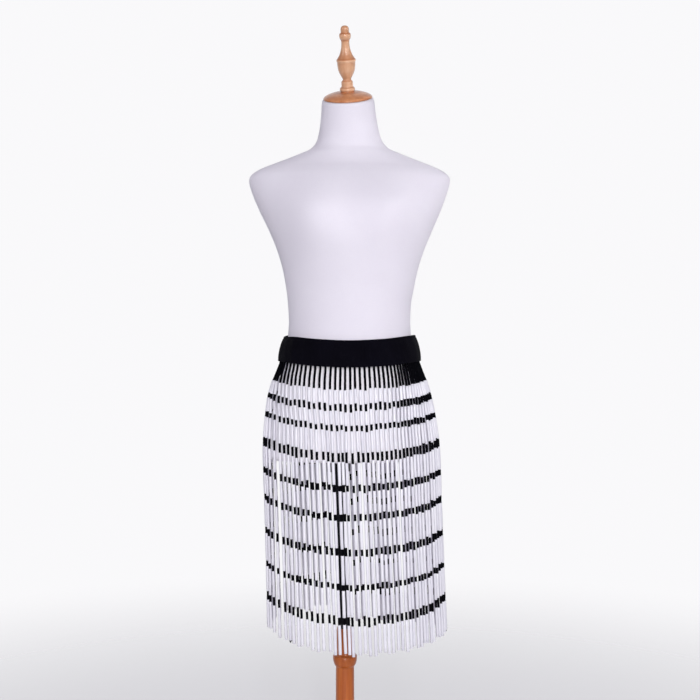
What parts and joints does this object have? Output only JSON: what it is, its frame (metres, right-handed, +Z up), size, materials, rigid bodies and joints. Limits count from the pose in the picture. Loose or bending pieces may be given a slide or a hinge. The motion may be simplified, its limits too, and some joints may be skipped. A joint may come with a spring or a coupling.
{
  "type": "piupiu skirt on a dress form",
  "caption": "Knee-length fringe skirt of black cords threaded with white tubes, hung from a black waistband, worn by a limbless dress form with a turned neck finial on a height-adjustable pole stand.",
  "frame": {"origin": "centre of the underside of the stand's foot, on the floor and on the pole's axis", "axes": "+Z up, -Y to the front of the skirt, +X to the right of someone who faces its front"},
  "size_m": [0.374, 0.33, 1.5531],
  "materials": {
    "band_cloth": "matt black woven cloth",
    "strand_tube": "stiff white plastic tube, satin",
    "form_jersey": "white fine-knit jersey over padding",
    "turned_wood": "light varnished wood",
    "pole_wood": "orange-brown varnished wood",
    "rod_metal": "satin black"
  },
  "bodies": {
    "stand": {"base": "pole_wood", "pole": "pole_wood"},
    "form": {"rod": "rod_metal", "rod_socket": "rod_metal", "torso": "form_jersey", "neck_cap": "turned_wood", "finial": "turned_wood", "waistband": "band_cloth", "strands_01": "strand_tube", "strands_02": "strand_tube", "strands_03": "strand_tube", "strands_04": "strand_tube", "strands_05": "strand_tube", "strands_06": "strand_tube", "strands_07": "strand_tube", "strands_08": "strand_tube", "strands_09": "strand_tube", "strands_10": "strand_tube", "strands_11": "strand_tube", "strands_12": "strand_tube"}
  },
  "joints": [
    {"name": "height_slide", "type": "slide", "parent": "stand", "child": "form", "axis": [-0.029, 0, 0.9996], "range_m": [-0.09, 0.07]}
  ]
}
